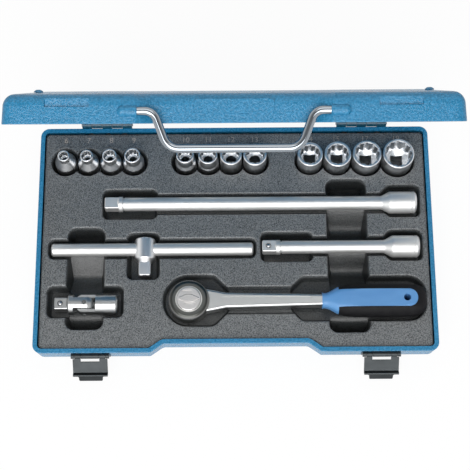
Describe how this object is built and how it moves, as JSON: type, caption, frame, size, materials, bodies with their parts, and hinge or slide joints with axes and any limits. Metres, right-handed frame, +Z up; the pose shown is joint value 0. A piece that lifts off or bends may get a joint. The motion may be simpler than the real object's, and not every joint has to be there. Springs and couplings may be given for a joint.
{
  "type": "socket wrench set in case",
  "caption": "Open hinged steel case with a moulded tray of sockets, extension bars, sliding handle, universal joint and reversible ratchet.",
  "frame": {"origin": "centre of the underside of the case, on the surface it stands on", "axes": "+X to the right along the case, +Y to the hinges at the back, +Z up"},
  "size_m": [0.3158, 0.2252, 0.2066],
  "materials": {
    "case_paint": "hammer finish paint",
    "hinge_paint": "paint over steel",
    "rivet_steel": "plain",
    "latch_steel": "zinc plated",
    "tray_plastic": "grained",
    "handle_chrome": "polished",
    "socket_chrome": "satin",
    "tool_chrome": "satin",
    "ball_steel": "polished",
    "joint_steel": "plain",
    "ratchet_nickel": "dark satin",
    "drive_steel": "plain",
    "dial_satin": "satin",
    "core_plastic": "semi gloss",
    "grip_rubber": "matt"
  },
  "bodies": {
    "case": {"base_shell": "case_paint", "tool_tray": "tray_plastic", "left_hinge_base_leaf": "hinge_paint", "right_hinge_base_leaf": "hinge_paint", "left_hinge_pin": "rivet_steel", "right_hinge_pin": "rivet_steel", "hinge_rivets_base": "rivet_steel", "left_latch_bracket": "latch_steel", "right_latch_bracket": "latch_steel", "left_latch_pin": "latch_steel", "right_latch_pin": "latch_steel", "latch_rivets": "rivet_steel"},
    "lid": {"lid_shell": "case_paint", "left_hinge_lid_leaf": "hinge_paint", "right_hinge_lid_leaf": "hinge_paint", "hinge_rivets_lid": "rivet_steel"},
    "carrying_handle": {"handle_bail": "handle_chrome"},
    "left_latch": {"left_latch_lever": "latch_steel"},
    "right_latch": {"right_latch_lever": "latch_steel"},
    "socket_06": {"socket_06": "socket_chrome"},
    "socket_07": {"socket_07": "socket_chrome"},
    "socket_08": {"socket_08": "socket_chrome"},
    "socket_09": {"socket_09": "socket_chrome"},
    "socket_10": {"socket_10": "socket_chrome"},
    "socket_11": {"socket_11": "socket_chrome"},
    "socket_12": {"socket_12": "socket_chrome"},
    "socket_13": {"socket_13": "socket_chrome"},
    "socket_14": {"socket_14": "socket_chrome"},
    "socket_15": {"socket_15": "socket_chrome"},
    "socket_17": {"socket_17": "socket_chrome"},
    "socket_19": {"socket_19": "socket_chrome"},
    "long_extension": {"long_extension": "tool_chrome"},
    "short_extension": {"short_extension": "tool_chrome"},
    "slide_bar": {"slide_bar": "tool_chrome"},
    "joint_drive": {"joint_drive_yoke": "tool_chrome"},
    "ratchet": {"ratchet_body": "ratchet_nickel", "ratchet_cover": "ratchet_nickel", "ratchet_core": "core_plastic", "ratchet_grip": "grip_rubber"},
    "long_ball": {"long_extension_ball": "ball_steel"},
    "short_ball": {"short_extension_ball": "ball_steel"},
    "slide_head": {"slide_head": "tool_chrome"},
    "slide_ball": {"slide_head_ball": "ball_steel"},
    "joint_centre": {"joint_block": "joint_steel", "joint_long_pin": "joint_steel", "joint_short_pins": "joint_steel"},
    "joint_socket": {"joint_socket_yoke": "tool_chrome"},
    "joint_ball": {"joint_ball": "ball_steel"},
    "ratchet_drive": {"ratchet_gear": "drive_steel"},
    "ratchet_dial": {"ratchet_dial": "dial_satin"},
    "ratchet_pawl": {"ratchet_pawl": "drive_steel"},
    "ratchet_ball": {"ratchet_ball": "ball_steel"}
  },
  "joints": [
    {"name": "lid_hinge", "type": "hinge", "parent": "case", "child": "lid", "pos_m": [0, 0.0974, 0.025], "axis": [-1, 0, 0], "range_deg": [-67, 38]},
    {"name": "handle_swing", "type": "hinge", "parent": "lid", "child": "carrying_handle", "pos_m": [0, 0.03153, 0.20254], "axis": [-1, 0, 0], "range_deg": [0, 170]},
    {"name": "left_latch_swing", "type": "hinge", "parent": "case", "child": "left_latch", "pos_m": [-0.113, -0.0963, 0.0235], "axis": [1, 0, 0], "range_deg": [-128, 0]},
    {"name": "right_latch_swing", "type": "hinge", "parent": "case", "child": "right_latch", "pos_m": [0.113, -0.0963, 0.0235], "axis": [1, 0, 0], "range_deg": [-128, 0]},
    {"name": "socket_06_lift", "type": "slide", "parent": "case", "child": "socket_06", "axis": [0, 0, 1], "range_m": [0, 0.05]},
    {"name": "socket_07_lift", "type": "slide", "parent": "case", "child": "socket_07", "axis": [0, 0, 1], "range_m": [0, 0.05]},
    {"name": "socket_08_lift", "type": "slide", "parent": "case", "child": "socket_08", "axis": [0, 0, 1], "range_m": [0, 0.05]},
    {"name": "socket_09_lift", "type": "slide", "parent": "case", "child": "socket_09", "axis": [0, 0, 1], "range_m": [0, 0.05]},
    {"name": "socket_10_lift", "type": "slide", "parent": "case", "child": "socket_10", "axis": [0, 0, 1], "range_m": [0, 0.05]},
    {"name": "socket_11_lift", "type": "slide", "parent": "case", "child": "socket_11", "axis": [0, 0, 1], "range_m": [0, 0.05]},
    {"name": "socket_12_lift", "type": "slide", "parent": "case", "child": "socket_12", "axis": [0, 0, 1], "range_m": [0, 0.05]},
    {"name": "socket_13_lift", "type": "slide", "parent": "case", "child": "socket_13", "axis": [0, 0, 1], "range_m": [0, 0.05]},
    {"name": "socket_14_lift", "type": "slide", "parent": "case", "child": "socket_14", "axis": [0, 0, 1], "range_m": [0, 0.05]},
    {"name": "socket_15_lift", "type": "slide", "parent": "case", "child": "socket_15", "axis": [0, 0, 1], "range_m": [0, 0.05]},
    {"name": "socket_17_lift", "type": "slide", "parent": "case", "child": "socket_17", "axis": [0, 0, 1], "range_m": [0, 0.05]},
    {"name": "socket_19_lift", "type": "slide", "parent": "case", "child": "socket_19", "axis": [0, 0, 1], "range_m": [0, 0.05]},
    {"name": "long_extension_lift", "type": "slide", "parent": "case", "child": "long_extension", "axis": [0, 0, 1], "range_m": [0, 0.05]},
    {"name": "short_extension_lift", "type": "slide", "parent": "case", "child": "short_extension", "axis": [0, 0, 1], "range_m": [0, 0.05]},
    {"name": "slide_bar_lift", "type": "slide", "parent": "case", "child": "slide_bar", "axis": [0, 0, 1], "range_m": [0, 0.05]},
    {"name": "joint_drive_lift", "type": "slide", "parent": "case", "child": "joint_drive", "axis": [0, 0, 1], "range_m": [0, 0.05]},
    {"name": "ratchet_lift", "type": "slide", "parent": "case", "child": "ratchet", "axis": [0, 0, 1], "range_m": [0, 0.05]},
    {"name": "long_ball_press", "type": "slide", "parent": "long_extension", "child": "long_ball", "axis": [0, 0, -1], "range_m": [-0.0008, 0], "stiffness_N_per_m": 400, "springref_m": 0.002},
    {"name": "short_ball_press", "type": "slide", "parent": "short_extension", "child": "short_ball", "axis": [0, 0, 1], "range_m": [-0.0008, 0], "stiffness_N_per_m": 400, "springref_m": 0.002},
    {"name": "slide_head_travel", "type": "slide", "parent": "slide_bar", "child": "slide_head", "axis": [1, 0, 0], "range_m": [-0.0035, 0.0015]},
    {"name": "slide_ball_press", "type": "slide", "parent": "slide_head", "child": "slide_ball", "axis": [0, 0, -1], "range_m": [-0.0008, 0], "stiffness_N_per_m": 400, "springref_m": 0.002},
    {"name": "joint_sideways", "type": "hinge", "parent": "joint_drive", "child": "joint_centre", "pos_m": [-0.1186, -0.0538, 0.0195], "axis": [0, 0, 1], "range_deg": [-4, 4]},
    {"name": "joint_bend", "type": "hinge", "parent": "joint_centre", "child": "joint_socket", "pos_m": [-0.1186, -0.0538, 0.0195], "axis": [0, -1, 0], "range_deg": [0, 45]},
    {"name": "joint_ball_press", "type": "slide", "parent": "joint_drive", "child": "joint_ball", "axis": [0, 0, 1], "range_m": [-0.0008, 0], "stiffness_N_per_m": 400, "springref_m": 0.002},
    {"name": "drive_turn", "type": "hinge", "parent": "ratchet", "child": "ratchet_drive", "pos_m": [-0.0364, -0.0532, 0.016], "axis": [0, 0, 1], "continuous": true},
    {"name": "dial_turn", "type": "hinge", "parent": "ratchet", "child": "ratchet_dial", "pos_m": [-0.0364, -0.0532, 0.016], "axis": [0, 0, 1], "range_deg": [-25, 25]},
    {"name": "pawl_rock", "type": "hinge", "parent": "ratchet", "child": "ratchet_pawl", "pos_m": [-0.023, -0.0532, 0.016], "axis": [0, 0, 1], "range_deg": [-4.5, 4.5]},
    {"name": "ratchet_ball_press", "type": "slide", "parent": "ratchet_drive", "child": "ratchet_ball", "axis": [-1, 0, 0], "range_m": [-0.0008, 0], "stiffness_N_per_m": 400, "springref_m": 0.002}
  ],
  "couplings": [
    {"joint": "pawl_rock", "follows": "dial_turn", "ratio": -0.17544}
  ]
}
